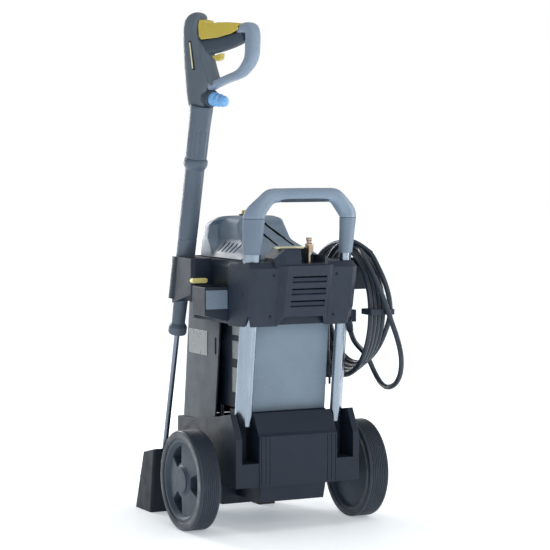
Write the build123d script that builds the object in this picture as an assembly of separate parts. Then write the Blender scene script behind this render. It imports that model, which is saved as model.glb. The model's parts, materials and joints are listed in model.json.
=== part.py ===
"""Upright cold-water pressure washer: build123d model, millimetres, +Z up.

The wheels and the push handle are at the rear (+Y), the water inlet at the front (-Y).
The spray lance stands at the +X side and the mains cable hangs coiled at the -X side.
The origin is on the floor, in the middle of the machine's length and width.
"""

import math
import os

from build123d import *

# ---- overall layout ---------------------------------------------------------
TRACK = 420.0               # over the outer faces of the wheels
REAR_Y = 241.5              # rearmost plane: the raised block of the rear cover
AXLE_Y = 90.0
AXLE_Z = 100.0
LEAN = 0.124                # how far the body leans back per unit of height
LEAN_DEG = math.degrees(math.atan(LEAN))

# ---- wheels -----------------------------------------------------------------
WHEEL_R = 100.0
TYRE_WIDTH = 44.0
RIM_R = 84.0
AXLE_R = 6.0
WHEEL_BORE_R = 6.05
HUB_CAP_R = 25.0
TREAD_GROOVES = 9
WINDOW_ANGLES = (88.0, 212.0, 330.0)

# ---- push handle ------------------------------------------------------------
TUBE_X = 103.5
TUBE_FOOT_Y = 155.2         # tube axis at its lower end
TUBE_FOOT_Z = 212.5
TUBE_LONG = 35.0
TUBE_SHORT = 20.0
TUBE_WALL = 1.5
TUBE_LENGTH = 385.0
TUBE_CLEARANCE = 0.5
HANDLE_DEPTH = 33.0

# ---- base -------------------------------------------------------------------
BASE_HALF = 137.0
TUB_HALF = 104.0
BASE_REAR = 196.0
WALL = 4.0

# ---- water inlet ------------------------------------------------------------
TIP_LENGTH = 4.0            # wider tip of the inlet pipe, in front of the coupling

# ---- upper housing ----------------------------------------------------------
COVER_HALF = 100.0
SHELL = 3.5
HEAD_BOTTOM = 412.0
HEAD_TOP = 536.0
HEAD_EDGE = 525.0           # where the bevel round the head's top starts
HEAD_HALF = 121.0
COVER_FRONT = 139.0         # the rear cover starts here
COVER_CAP = 521.0           # underside of the rear cover's solid top
COVER_SIDE = 128.0
REAR_LEAN = 0.205           # the rear cover leans further back than the rest
RIM_Z = 537.0               # lower edge of the hood
BLOCK_TOP = 530.0
SLOT_HEIGHTS = (454.5, 478.5, 502.5)
SLOT_X = -4.5
SLOT_LONG = 76.0
SCREW_X = 69.3
SCREW_HEIGHTS = (430.0, 511.0)
HUMP_TOP = 563.0
RECESS_FLOOR = 533.0
OUTLET = (-18.0, 205.0)     # (x, y) of the high-pressure outlet
STUB_R = 4.5

# ---- motor and pump ---------------------------------------------------------
MOTOR_Y = 71.0              # motor axis where it crosses MOTOR_Z
MOTOR_Z = 236.0
STATOR_R = 61.0
ROTOR_R = 34.0
SHAFT_R = 9.0
PISTON_R = 7.0
PISTON_CIRCLE = 26.0

# ---- lance and gun ----------------------------------------------------------
LANCE_TIP = Vector(146.52, -163.33, 8.0)
LANCE_DIR = Vector(-6.0, 139.0, 574.5).normalized()
LANCE_TUBE_R = 5.5
COLLAR_AT = 380.0           # distances along the lance from its tip
SLEEVE_END = 740.0
FLANGE_END = 751.0
NUT_START = 751.4
NUT_END = 860.0
GUN_START = 860.4
CHANNEL_R = 20.5
GUN_TURN = 18.0             # the grip points this far from +Y towards -X
GUN_THICK = 36.0
CAP_DROOP = 10.0            # the hose connection points this far below the grip's line
LOOP_THICK = 28.0
GRIP_THICK = 22.4

# ---- mains cable ------------------------------------------------------------
CABLE_D = 10.6
COIL_CENTRE = (-175.0, 77.0, 428.0)
COIL_OUTER = 146.0
COIL_INNER = 107.0
COIL_HALF = 25.0

# Routes of the cable where it isn't wound: gland to coil, and coil to plug
LEAD_ROUTE = [(-134, 163, 392), (-146, 151, 374), (-163, 136, 360), (-183, 122, 347), (-203, 113, 330),
              (-212, 115, 309), (-216, 127, 290), (-215, 147, 278), (-212, 172, 273), (-209, 201, 277),
              (-206, 229, 290), (-203, 249, 313), (-199, 257, 345), (-193, 251, 380), (-186, 239, 413),
              (-179, 229, 446), (-170, 219, 478), (-162, 204, 508), (-158, 183, 534), (-160, 161, 551),
              (-166, 140, 554)]
TAIL_ROUTE = [(-185, 178, 528), (-181, 160, 549), (-164, 128, 569), (-154, 107, 569), (-145, 88, 559),
              (-138, 73, 542), (-134, 65, 521), (-134, 65, 478), (-134, 64, 420), (-134, 64, 342)]

os.makedirs("parts", exist_ok=True)


def write(shape, name):
    """Write one sub-part as a STEP file named after its node."""
    export_step(shape, "parts/" + name + ".step")


def block(x0, x1, y0, y1, z0, z1):
    """An axis-aligned box from its limits."""
    return Pos((x0 + x1) / 2, (y0 + y1) / 2, (z0 + z1) / 2) * Box(x1 - x0, y1 - y0, z1 - z0)


def side_prism(outline, x0, x1):
    """A (y, z) outline extruded along X."""
    face = make_face(Plane.YZ * Polyline(*outline, close=True))
    return Pos(x0, 0, 0) * extrude(face, x1 - x0, dir=(1, 0, 0))


def plan_prism(outline, z0, z1, lean=0.0):
    """An (x, y) outline extruded upwards, sheared back by lean per unit of height."""
    face = Pos(0, 0, z0) * make_face(Polyline(*outline, close=True))
    rise = z1 - z0
    return extrude(face, rise * math.hypot(1, lean), dir=(0, lean, 1))


def mirror_points(outline):
    """A symmetric outline from its +X half, given from front to rear."""
    return outline + [(-x, y) for x, y in reversed(outline)]


def leaned(shape, y, z):
    """Tilt a shape built round the origin with the body, and set it at (y, z)."""
    return Pos(0, y, z) * Rot(-LEAN_DEG, 0, 0) * shape


def rounded(shape, radius, keep):
    """Fillet the edges that keep accepts."""
    edges = [edge for edge in shape.edges() if keep(edge)]
    return fillet(edges, radius)


def turned(profile):
    """Revolve an (r, z) outline round Z."""
    face = make_face(Plane.XZ * Polyline(*profile, close=True))
    return revolve(face, Axis.Z)


# ---- running gear -----------------------------------------------------------

def tyre():
    """Tyre round Z, outer face at z = 0, with grooves round its tread."""
    solid = turned([(RIM_R, -TYRE_WIDTH), (WHEEL_R, -TYRE_WIDTH), (WHEEL_R, 0), (RIM_R, 0)])
    solid = rounded(solid, 4.0, lambda e: e.geom_type == GeomType.CIRCLE and e.radius > RIM_R + 1)
    pitch = (TYRE_WIDTH - 14.0) / (TREAD_GROOVES - 1)
    for index in range(TREAD_GROOVES):
        z = -7.0 - index * pitch
        solid -= turned([(WHEEL_R - 1.0, z - 0.7), (WHEEL_R + 1, z - 0.7), (WHEEL_R + 1, z + 0.7),
                         (WHEEL_R - 1.0, z + 0.7)])
    return solid


def rim():
    """Dished rim round Z, outer face at z = 0, with three windows between broad spokes."""
    solid = turned([(WHEEL_BORE_R, -40), (17, -40), (17, -34), (RIM_R - 3, -34), (RIM_R - 3, -42),
                    (RIM_R, -42), (RIM_R, -2), (RIM_R - 7, -2), (RIM_R - 12, -9), (HUB_CAP_R + 6, -6),
                    (HUB_CAP_R + 3, -3), (WHEEL_BORE_R, -3)])
    window = turned([(HUB_CAP_R + 10, -30), (RIM_R - 14, -30), (RIM_R - 14, 1), (HUB_CAP_R + 10, 1)])
    for angle in WINDOW_ANGLES:
        wedge = Polyline((9, 0), (130, -54), (130, 54), close=True)
        sector = extrude(Pos(0, 0, -32) * Rot(0, 0, angle) * make_face(wedge), 40)
        solid -= rounded(window & sector, 4.0, lambda e: abs(e.tangent_at(0.5).Z) > 0.99)
    return solid


def hub_cap():
    """Slightly domed cap over the axle's end, outer face at z = 0."""
    return turned([(0, -2.8), (HUB_CAP_R, -2.8), (HUB_CAP_R, -1.2), (HUB_CAP_R - 3, -0.3), (0, 0)])


def place_wheel(shape, side):
    """Put a piece built with its outer face at z = 0 on one side of the machine."""
    return Pos(side * TRACK / 2, AXLE_Y, AXLE_Z) * Rot(0, 90 * side, 0) * shape


def wheels():
    """Both wheels and their axle."""
    for side, name in ((1, "left"), (-1, "right")):
        write(place_wheel(tyre(), side), "wheel_tyre_" + name)
        write(place_wheel(rim(), side), "wheel_rim_" + name)
        write(place_wheel(hub_cap(), side), "hub_cap_" + name)
    half = TRACK / 2 - 3.2
    write(Pos(0, AXLE_Y, AXLE_Z) * Rot(0, 90, 0) * Cylinder(AXLE_R, 2 * half), "wheel_axle")


# ---- base -------------------------------------------------------------------

def base_chassis():
    """Black tub with shoulders, tube pockets, a rear block and a skid below."""
    shoulders = side_prism([(-70, 93), (-70, 178), (0, 211), (85, 222), (136, 230), (136, 93)],
                           -BASE_HALF, BASE_HALF)
    pockets = side_prism([(136, 93), (136, 231), (168, 236), (194, 190), (194, 93)], -BASE_HALF, BASE_HALF)
    centre = side_prism([(60, 93), (60, 235), (146, 235), (BASE_REAR, 192), (BASE_REAR, 93)], -86, 86)
    tub = side_prism([(60, 40), (-146, 40), (-166, 62), (-158, 196), (60, 205)], -TUB_HALF, TUB_HALF)
    skid = side_prism([(30, 94), (176, 94), (164, 57), (30, 57)], -72, 72)
    shape = shoulders + pockets + centre + tub + skid
    for side in (-1, 1):
        lo, hi = sorted((side * 86.5, side * 124.0))
        shape -= block(lo, hi, 136, 210, 140, 260)
    shape -= side_prism([(-146, 46), (56, 46), (56, 95), (139, 95), (139, 250), (-146, 250)], -80, 80)
    for side in (-1, 1):
        for x in (64.0, 73.0, 82.6):
            shape -= block(side * x - 0.8, side * x + 0.8, BASE_REAR - 1.5, BASE_REAR + 1, 96, 190)
        shape += block(side * 82 - 22, side * 82 + 22, -150, -106, 14, 42)
    shape -= Pos(0, AXLE_Y, AXLE_Z) * Rot(0, 90, 0) * Cylinder(AXLE_R + 0.05, 2 * BASE_HALF + 2)
    return shape


def front_feet():
    """Two rubber pads under the front corners."""
    pad = rounded(Box(40, 40, 14), 5.0, lambda e: abs(e.tangent_at(0.5).Z) > 0.99)
    return Compound([Pos(x, -128, 7) * pad for x in (-82, 82)])


def lance_boot():
    """Open-topped boot at the front corner that the lance stands in."""
    outer = side_prism([(-210, 0), (-126, 0), (-106.5, 136), (-167.5, 122)], TUB_HALF, 181)
    outer = rounded(outer, 6.0, lambda e: e.center().X > 180 and abs(e.tangent_at(0.5).X) < 0.1
                    and e.length > 100)
    inner = side_prism([(-205.4, 6), (-131.4, 6), (-109.5, 150), (-163.5, 150)], TUB_HALF + 4, 177)
    return outer - inner


def water_inlet():
    """Brass elbow from the pump chamber round the boot, ending in the inlet spigot."""
    x_in, x_out, z, turn_y = 84.0, 143.6, 57.0, -218.0
    tip, pipe = 8.0, 7.0
    shape = Pos(x_in, (turn_y - 166) / 2, z) * Rot(90, 0, 0) * Cylinder(pipe, abs(turn_y + 166))
    shape += Pos(x_in, turn_y, z) * Sphere(pipe)
    shape += Pos((x_in + x_out) / 2, turn_y, z) * Rot(0, 90, 0) * Cylinder(pipe, x_out - x_in)
    shape += Pos(x_out, turn_y, z) * Sphere(pipe)
    length = REAR_Y + turn_y
    shape += Pos(x_out, turn_y - length / 2, z) * Rot(90, 0, 0) * Cylinder(pipe, length)
    return shape + Pos(x_out, TIP_LENGTH / 2 - REAR_Y, z) * Rot(90, 0, 0) * Cylinder(tip, TIP_LENGTH)


def inlet_coupling():
    """Ribbed ring that screws the hose connector on to the inlet spigot."""
    start, end = -225.0, -236.5
    shape = Pos(143.6, (start + end) / 2, 57) * Rot(90, 0, 0) * Cylinder(15, start - end)
    for index in range(16):
        angle = index * 360 / 16
        notch = Pos(143.6, 0, 57) * Rot(0, angle, 0) * Pos(15.4, 0, 0)
        shape -= notch * block(-1.2, 1.2, end - 1, start - 3, -1.2, 1.2)
    return shape - Pos(143.6, (start + end) / 2, 57) * Rot(90, 0, 0) * Cylinder(7.02, 30)


# ---- upper housing ----------------------------------------------------------

def rear_panel():
    """Grey panel between the tubes, with returns along both sides."""
    outer = side_prism([(106, 236), (146, 236), (163.4, 410), (123.4, 410)], -84.5, 84.5)
    inner = side_prism([(100, 235), (143, 235), (160.5, 411), (100, 411)], -81.5, 81.5)
    shape = outer - inner
    return rounded(shape, 1.2, lambda e: e.length > 150 and e.center().Y > 150)


def motor_housing():
    """Black inner casing round the motor, open below."""
    half = 81.0
    outline = mirror_points([(half, 0), (half, 98), (half - 12, 141)])
    outer = plan_prism(outline, 236.2, 409, LEAN * 0.8)
    inner_outline = mirror_points([(half - WALL, WALL), (half - WALL, 96), (half - 15, 137)])
    inner = plan_prism(inner_outline, 230, 404, LEAN * 0.8)
    return outer - inner


def motor_frame(shape):
    """Place a piece built along the motor's axis."""
    return leaned(shape, MOTOR_Y, MOTOR_Z)


def ring(outer, inner, z0, z1):
    """A plain ring round Z."""
    return turned([(inner, z0), (outer, z0), (outer, z1), (inner, z1)])


def motor_parts():
    """Stator, rotor with its shaft, fan, swash plate, pistons, pump block and valve caps."""
    write(motor_frame(ring(STATOR_R, ROTOR_R + 1, 30, 130)), "motor_stator")
    rotor = Pos(0, 0, 80) * Cylinder(ROTOR_R, 96) + Pos(0, 0, 66) * Cylinder(SHAFT_R, 168)
    write(motor_frame(rotor), "motor_rotor")
    fan = ring(16, SHAFT_R, 134, 148) + ring(52, 15, 134, 136)
    for index in range(9):
        fan += Rot(0, 0, index * 40) * block(15, 50, -1, 1, 135, 148)
    write(motor_frame(fan), "cooling_fan")
    swash = turned([(SHAFT_R, -18), (38, -18), (38, 2), (SHAFT_R, 2)])
    swash -= Pos(0, 0, -32) * Rot(0, 10, 0) * Box(120, 120, 20)
    write(motor_frame(swash), "swash_plate")
    spots = [Rot(0, 0, a) * Pos(PISTON_CIRCLE, 0, 0) for a in (30, 150, 270)]
    pistons = [spot * Pos(0, 0, -50) * Cylinder(PISTON_R, 36) for spot in spots]
    write(Compound([motor_frame(p) for p in pistons]), "pump_pistons")
    pump = Pos(0, 0, -88) * Cylinder(46, 74)
    pump += Pos(0, 0, -62) * Cylinder(52, 10)
    for spot in spots:
        pump -= spot * Pos(0, 0, -58) * Cylinder(PISTON_R, 24)
        pump -= spot * Pos(0, 0, -120) * Cylinder(9, 22)
    write(motor_frame(pump), "pump_block")
    caps = [spot * (Pos(0, 0, -120) * Cylinder(9, 22) + Pos(0, 0, -134) * Cylinder(11, 6)) for spot in spots]
    write(Compound([motor_frame(c) for c in caps]), "valve_caps")


def small_inner_parts():
    """Run capacitor, switch box and the high-pressure pipe beside the motor."""
    write(Pos(-50, -80, 262) * Cylinder(21, 100) + Pos(-50, -80, 316) * Cylinder(12, 8), "run_capacitor")
    box = rounded(block(-34, 34, -70, -14, 500, 560), 4.0, lambda e: abs(e.tangent_at(0.5).Z) > 0.99)
    write(box, "switch_box")
    path = FilletPolyline((66, 62, 150), (66, 20, 168), (66, -22, 200), (66, -22, 290), (66, -16, 340),
                          (66, 4, 420), (66, 24, 480), radius=[30, 30, 40, 60, 60])
    section = Plane(path @ 0, z_dir=path % 0) * Circle(5)
    write(sweep(section, path=path), "high_pressure_pipe")


def front_cover():
    """Grey U-shaped cover round the front and both sides."""
    outer = plan_prism(mirror_points([(COVER_HALF, 16), (COVER_HALF, -158)]), 197, RIM_Z - 1, LEAN)
    outer = rounded(outer, 26.0, lambda e: e.length > 200 and e.center().Y < -60)
    reach = COVER_HALF - SHELL
    inner = plan_prism(mirror_points([(reach, 40), (reach, -154.5)]), 190, 545, LEAN)
    inner = rounded(inner, 22.0, lambda e: e.length > 200 and e.center().Y < -60)
    shape = outer - inner
    shape -= side_prism([(-170, 150), (-170, 196.3), (-158, 196.3), (-20, 202), (0, 211.3), (85, 222.3),
                         (85, 150)], -120, 120)
    for side in (-1, 1):
        slot_centre = 10 + (356 - 197) * LEAN
        shape -= block(side * 98 - 5, side * 98 + 5, slot_centre - 12, slot_centre - 4, 340, 375)
    return shape


def hood_solid(inset, bottom):
    """Solid dome of the hood, drawn in by inset."""
    stations = [(bottom, 88, -106, 128, 40), (575, 84, -100, 72, 38), (602, 75, -88, 16, 32),
                (619, 48, -62, -20, 18)]
    faces = []
    for z, half, front, rear, radius in stations:
        centre = (front + rear) / 2
        drop = inset if z > 590 else 0
        shape = RectangleRounded(2 * (half - inset), rear - front - 2 * inset, radius - inset)
        faces.append(Pos(0, centre, z - drop) * shape)
    return loft(faces)


def hood():
    """Domed hood with vent slots on both rear shoulders and a well for the switch."""
    shape = hood_solid(0, RIM_Z) - hood_solid(3, RIM_Z - 1)
    for side in (-1, 1):
        for index in range(5):
            slot = Rot(0, side * 30, 0) * Box(3, 34, 40)
            shape -= Pos(side * (40 + index * 8), 62 - index * 3, 566) * Rot(0, 0, -side * 28) * slot
    return shape - Pos(0, -34, 618) * Cylinder(17.5, 30)


def switch_bezel():
    """Round well that the power switch sits in."""
    return Pos(0, -34, 0) * turned([(0, 604), (17, 604), (17, 621), (19, 621), (19, 623), (15, 623),
                                    (15, 608), (0, 608)])


def switch_knob():
    """Rotary power switch with a raised grip bar."""
    knob = Pos(0, 0, 614.3) * Cylinder(14.5, 12)
    bar = rounded(Box(27, 8, 12), 2.5, lambda e: abs(e.tangent_at(0.5).Z) > 0.99)
    return Pos(0, -34, 0) * (knob + Pos(0, 0, 625) * bar)


def tube_section(side, grow=0.0):
    """Flat oval across a handle tube, its broad face turned to the rear and outside."""
    return Rot(0, 0, -45 * side) * SlotOverall(TUBE_LONG + 2 * grow, TUBE_SHORT + 2 * grow)


def tube_solid(side, low, high, grow=0.0):
    """Solid oval bar along a handle tube's axis, between two distances from its foot."""
    bar = Pos(side * TUBE_X, 0, low) * extrude(tube_section(side, grow), high - low)
    return leaned(bar, TUBE_FOOT_Y, TUBE_FOOT_Z)


def head_frame():
    """Black collar below the hood, with the guides for both handle tubes."""
    plan = mirror_points([(HEAD_HALF, -40), (HEAD_HALF, 146), (118, 160), (97, 197)])
    shape = plan_prism(plan, HEAD_BOTTOM, HEAD_TOP, LEAN)
    shape -= block(-200, 200, COVER_FRONT - 0.5, 300, COVER_CAP - 0.5, HEAD_TOP + 1)
    bevel = [(HEAD_HALF, HEAD_EDGE), (HEAD_HALF - 6, HEAD_TOP), (HEAD_HALF - 6, 600), (200, 600),
             (200, HEAD_EDGE)]
    for side in (-1, 1):
        cut = make_face(Plane.XZ * Polyline(*[(side * x, z) for x, z in bevel], close=True))
        shape -= Pos(0, 300, 0) * extrude(cut, 600, dir=(0, -1, 0))
    shape -= plan_prism(mirror_points([(100.3, -60), (100.3, 60)]), HEAD_BOTTOM - 10, HEAD_TOP + 10, LEAN)
    shape -= plan_prism(mirror_points([(82, 50), (82, 186)]), HEAD_BOTTOM - 10, COVER_CAP - WALL, LEAN)
    for side in (-1, 1):
        shape -= tube_solid(side, 150, 380, TUBE_CLEARANCE)
    return shape


def rear_face(z):
    """Y of the rear cover's outer face at a height."""
    return 207.0 + (z - 430.0) * REAR_LEAN


def section(z, outline):
    """A horizontal face from the +X half of an (x, y) outline."""
    return Pos(0, 0, z) * make_face(Polyline(*mirror_points(outline), close=True))


def rear_cover_solid():
    """Outside of the rear cover: bevelled corners, drawn in at the bottom and round the top."""
    low = HEAD_BOTTOM - 2
    faces = [section(low, [(127, COVER_FRONT), (127, 141), (119.5, 182), (104, rear_face(low))])]
    for z in (446.0, HEAD_EDGE):
        y = rear_face(z)
        faces.append(section(z, [(COVER_SIDE, COVER_FRONT), (COVER_SIDE, y - 60), (117, y - 6), (106, y)]))
    faces.append(section(HEAD_TOP, [(123.5, COVER_FRONT), (123.5, 168), (114.5, 209), (103, 214)]))
    return loft(faces, ruled=True)


def outlet_hump():
    """Raised housing round the outlet, with sloping ends and a recess open to the rear."""
    plan = [(66, 176), (66, 222), (46, 236), (-38, 236), (-52, 222), (-52, 176)]
    hump = plan_prism(plan, COVER_CAP, HUMP_TOP, 0.0)
    hump &= side_prism([(170, COVER_CAP), (226, COVER_CAP), (238, 532), (237, 545), (232, 560),
                        (228, HUMP_TOP), (170, HUMP_TOP)], -60, 70)
    hump -= Pos(66, 200, HUMP_TOP) * Rot(0, 45, 0) * Box(26, 200, 26)
    hump -= Pos(-52, 200, HUMP_TOP + 3) * Rot(0, 55, 0) * Box(44, 200, 44)
    return hump


def rear_cover():
    """Black cover behind the head, with a raised block, three slots and the outlet hump."""
    low = HEAD_BOTTOM - 2
    face = rear_face(low)
    plan = mirror_points([(COVER_SIDE - SHELL, 100), (COVER_SIDE - SHELL, face - 62), (113.5, face - 9),
                          (101.5, face - SHELL)])
    shape = rear_cover_solid() - plan_prism(plan, low - 5, COVER_CAP, REAR_LEAN)
    raised = plan_prism(mirror_points([(62, face - 2), (46, face + 14)]), low + 4, BLOCK_TOP, REAR_LEAN)
    raised -= side_prism([(face + 1, low), (face + 3, low + 4), (rear_face(433) + 14, 433),
                          (300, 433), (300, low)], -70, 70)
    shape += raised
    hollow = mirror_points([(58, face - 9), (42, face + 10.5)])
    shape -= plan_prism(hollow, low - 2, BLOCK_TOP - 4, REAR_LEAN)
    for z in SLOT_HEIGHTS:
        y = rear_face(z) + 14
        slot = rounded(Box(SLOT_LONG, 8, 13), 2.0, lambda e: abs(e.tangent_at(0.5).Y) > 0.99)
        shape -= Pos(SLOT_X, y, z) * slot
        shape += Pos(SLOT_X, y - 3.4, z) * Box(SLOT_LONG, 3, 7)
    shape += outlet_hump()
    x, y = OUTLET
    recess = block(x - 19, x + 33, y - 19, 260, RECESS_FLOOR, 600)
    shape -= rounded(recess, 4.0, lambda e: abs(e.tangent_at(0.5).Y) > 0.99)
    shape -= Pos(x, y, RECESS_FLOOR) * Cylinder(STUB_R + 0.05, 40)
    for side in (-1, 1):
        shape -= tube_solid(side, 150, 380, TUBE_CLEARANCE)
        for z in SCREW_HEIGHTS:
            shape -= Pos(side * SCREW_X, rear_face(z), z) * Rot(90, 0, 0) * Cylinder(3.1, 6)
    return shape


def cover_screws():
    """Pan-head screws of the rear cover, sunk a little below its face."""
    screws = []
    for side in (-1, 1):
        for z in SCREW_HEIGHTS:
            screw = turned([(0, -9), (1.9, -9), (1.9, -2.4), (3.0, -2.4), (3.0, -0.6), (0, -0.2)])
            screws.append(Pos(side * SCREW_X, rear_face(z) - 0.4, z) * Rot(-90, 0, 0) * screw)
    return Compound(screws)


def outlet_fitting():
    """Brass high-pressure outlet on its stub: hexagon, ring, neck and collar."""
    x, y = OUTLET
    shape = turned([(0, COVER_CAP), (STUB_R, COVER_CAP), (STUB_R, 556), (0, 556)])
    shape += Pos(0, 0, 555) * extrude(RegularPolygon(9.6, 6), 12)
    shape += turned([(0, 567), (8.7, 567), (8.7, 571), (5.2, 572), (5.2, 577), (6.3, 578),
                     (6.3, 583), (0, 583)])
    return Pos(x, y, 0) * (shape - Pos(0, 0, 570) * Cylinder(3, 30))


def accessory_pocket():
    """Cup for spare nozzles on the +X side, open at the top."""
    outline = [(HEAD_HALF, 417), (176, 430), (176, 486), (HEAD_HALF, 486)]
    face = make_face(Plane.XZ * Polyline(*outline, close=True))
    outer = Pos(0, 138, 0) * extrude(face, 66, dir=(0, -1, 0))
    outer = rounded(outer, 5.0, lambda e: e.center().X > 170 and abs(e.tangent_at(0.5).Y) < 0.1)
    return outer - block(HEAD_HALF + 4, 172, 76, 134, 434, 500)


def pocket_plate():
    """Plain grey plate on the pocket's rear face."""
    return rounded(block(129, 175, 138, 139.6, 443, 480), 1.0, lambda e: abs(e.tangent_at(0.5).Y) > 0.99)


# ---- lance, bracket and gun -------------------------------------------------

def lance_frame(shape):
    """Place a piece built along Z from the lance's tip."""
    plane = Plane(origin=LANCE_TIP, x_dir=(1, 0, 0.0104435), z_dir=LANCE_DIR)
    return plane.location * shape


def lance_bracket():
    """Arm with a C-shaped clip that holds the lance's sleeve."""
    arm = block(HEAD_HALF, 164, -58, 48, 436, 538)
    arm = rounded(arm, 8.0, lambda e: e.center().X > 160 and abs(e.tangent_at(0.5).Z) > 0.99)
    clip = lance_frame(Pos(0, 0, 492) * Cylinder(26, 120))
    arm += clip & block(HEAD_HALF, 200, -100, 60, 452, 538)
    arm -= side_prism([(60, 430), (60, 470), (-100, 432), (-100, 430)], 100, 200)
    arm -= lance_frame(Pos(0, 0, 492) * Cylinder(CHANNEL_R, 200))
    mouth = lance_frame(Pos(0, -30, 492) * Box(30, 60, 200))
    return arm - mouth - Pos(149, 48, 494) * Rot(90, 0, 0) * button_shape(0.5, 26)


def button_shape(grow, depth):
    """Flat oval push button along Z."""
    return extrude(SlotOverall(34 + 2 * grow, 10 + 2 * grow), depth / 2, both=True)


def clip_button():
    """Yellow release button in the bracket's rear face."""
    return Pos(149, 47, 494) * Rot(90, 0, 0) * button_shape(0, 14)


def lance():
    """Nozzle, tube and sleeve of the lance."""
    write(lance_frame(turned([(0, 0), (6, 0), (8, 6), (8, 26), (6.5, 34), (LANCE_TUBE_R, 34),
                              (LANCE_TUBE_R, 20), (0, 20)])), "lance_nozzle")
    tube = turned([(3.5, 20), (LANCE_TUBE_R, 20), (LANCE_TUBE_R, 600), (3.5, 600)])
    write(lance_frame(tube), "lance_tube")
    bore = LANCE_TUBE_R
    sleeve = turned([(bore, COLLAR_AT), (17, COLLAR_AT), (19, 384), (19, 396), (16, 401), (13.8, 404),
                     (15.2, 470), (18.6, 530), (19.3, 545), (19.6, 583), (19.0, 584), (19.0, 586), (19.6, 587),
                     (19.8, 730), (22.5, 734), (24.5, SLEEVE_END), (24.5, 747), (22, FLANGE_END),
                     (13.5, FLANGE_END), (13.5, 800), (3.5, 800), (3.5, 600), (bore, 600)])
    write(lance_frame(sleeve), "lance_sleeve")


def union_nut():
    """Fluted union nut that joins the gun to the lance."""
    shape = turned([(14, NUT_START), (20.6, NUT_START), (21.6, NUT_START + 4), (22.0, 815), (23.6, 856),
                    (23.0, NUT_END), (14, NUT_END)])
    for index in range(14):
        flute = Rot(0, 0, index * 360 / 14) * Pos(23.4, 0, 782) * Cylinder(2.6, 56)
        shape -= flute
    return lance_frame(shape)


def gun_plane():
    """Plane of the gun: x towards the grip's far end, y up, at the top of the lance."""
    origin = LANCE_TIP + LANCE_DIR * GUN_START
    turn = math.radians(GUN_TURN)
    return Plane(origin=origin, x_dir=(-math.sin(turn), math.cos(turn), 0),
                 z_dir=(math.cos(turn), math.sin(turn), 0))


def gun_slab(outline, thickness):
    """A rounded outline in the gun's plane, centred on it."""
    face = make_face(Polyline(*outline, close=True))
    return extrude(face, thickness / 2, both=True)


def in_gun(shape):
    """Move a piece from gun coordinates to the machine."""
    return gun_plane().location * shape


def gun_body():
    """Gun housing from the nut to the top, with its inlet ring."""
    outline = [(-19, 9), (16, 2.5), (17, 30), (17, 60), (17, 102), (10, 106), (4, 112), (0, 140), (-2, 150),
               (2, 172), (20, 170), (22, 178), (12, 184), (-8, 186), (-24, 181), (-34, 168), (-37, 140),
               (-35, 90), (-29, 40), (-24, 12)]
    shape = gun_slab(outline, GUN_THICK)
    shape = rounded(shape, 5.0, lambda e: abs(abs(e.center().Z) - GUN_THICK / 2) < 0.1)
    body = in_gun(shape)
    body += lance_frame(Pos(0, 0, 834) * Cylinder(13.5, 66))
    boss = in_gun(cap_axis(-10) * Pos(0, 0, 10) * Cylinder(17.5, 20))
    return body + boss


def gun_loop():
    """Grip bar and the loop round the hand, behind the housing."""
    outer = [(17.3, 36), (40, 36), (104, 62), (146, 98), (158, 140), (158, 156), (150, 164), (136, 163),
             (124, 155), (118, 120), (60, 104), (17.3, 101)]
    inner = [(26, 96), (42, 64), (98, 78), (131, 104), (131, 119), (118, 119.9), (60, 103.9)]
    loop = gun_slab(outer, LOOP_THICK) - gun_slab(inner, LOOP_THICK + 2)
    bar = gun_slab([(17.3, 100), (60, 103), (122, 119), (126, 156), (100, 143), (60, 136),
                    (17.3, 128)], GRIP_THICK)
    return in_gun(loop + bar)


def trigger():
    """Yellow palm lever over the grip, with skirts down both sides of it."""
    outline = [(6, 136), (12, 130), (60, 132), (100, 139), (118, 146), (117, 158), (90, 161), (60, 162),
               (36, 160), (26, 161), (20, 168), (8, 170), (4, 160)]
    shape = gun_slab(outline, LOOP_THICK)
    shape = rounded(shape, 2.0, lambda e: abs(abs(e.center().Z) - LOOP_THICK / 2) < 0.1)
    below = gun_slab([(0, 120), (124, 120), (124, 154.5), (100, 149), (60, 145), (0, 138.5)],
                     GRIP_THICK + 1)
    return in_gun(shape - below)


def safety_catch():
    """Yellow catch below the grip."""
    return in_gun(gun_slab([(36, 96), (62, 101.5), (60, 90), (50, 86)], 12))


def cap_axis(along):
    """Place on the axis of the gun's hose connection, which droops a little."""
    return Pos(24, 14, 0) * Rot(0, 0, -CAP_DROOP) * Rot(0, 90, 0) * Pos(0, 0, along)


def gun_cap():
    """Blue transport cap on the gun's hose connection."""
    cap = turned([(0, 0), (14, 0), (14, 8), (11.5, 9.5), (11.5, 14), (13, 16), (13, 20), (10.5, 22),
                  (10.5, 27), (11.5, 31), (9, 37), (0, 39)])
    return in_gun(cap_axis(10) * cap)


def gun_inlay():
    """Slim pale inlay on the outer side of the gun."""
    shape = rounded(gun_slab([(-8, 73), (-4.5, 73), (-13, 125), (-16.5, 125)], 1.2), 0.5,
                    lambda e: abs(e.tangent_at(0.5).Z) > 0.99)
    return in_gun(Pos(0, 0, GUN_THICK / 2 + 0.6) * shape)


# ---- push handle ------------------------------------------------------------

def handle_outline(grow=0.0):
    """Half of the push handle's outline, as (x, height above the tubes' feet)."""
    return [(85 - grow, 343), (122 + grow, 343), (122 + grow, 410), (118 + grow, 420), (79 + grow, 468),
            (0, 473 + grow), (0, 443 - grow), (53 - grow, 443 - grow), (85 - grow, 412)]


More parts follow.
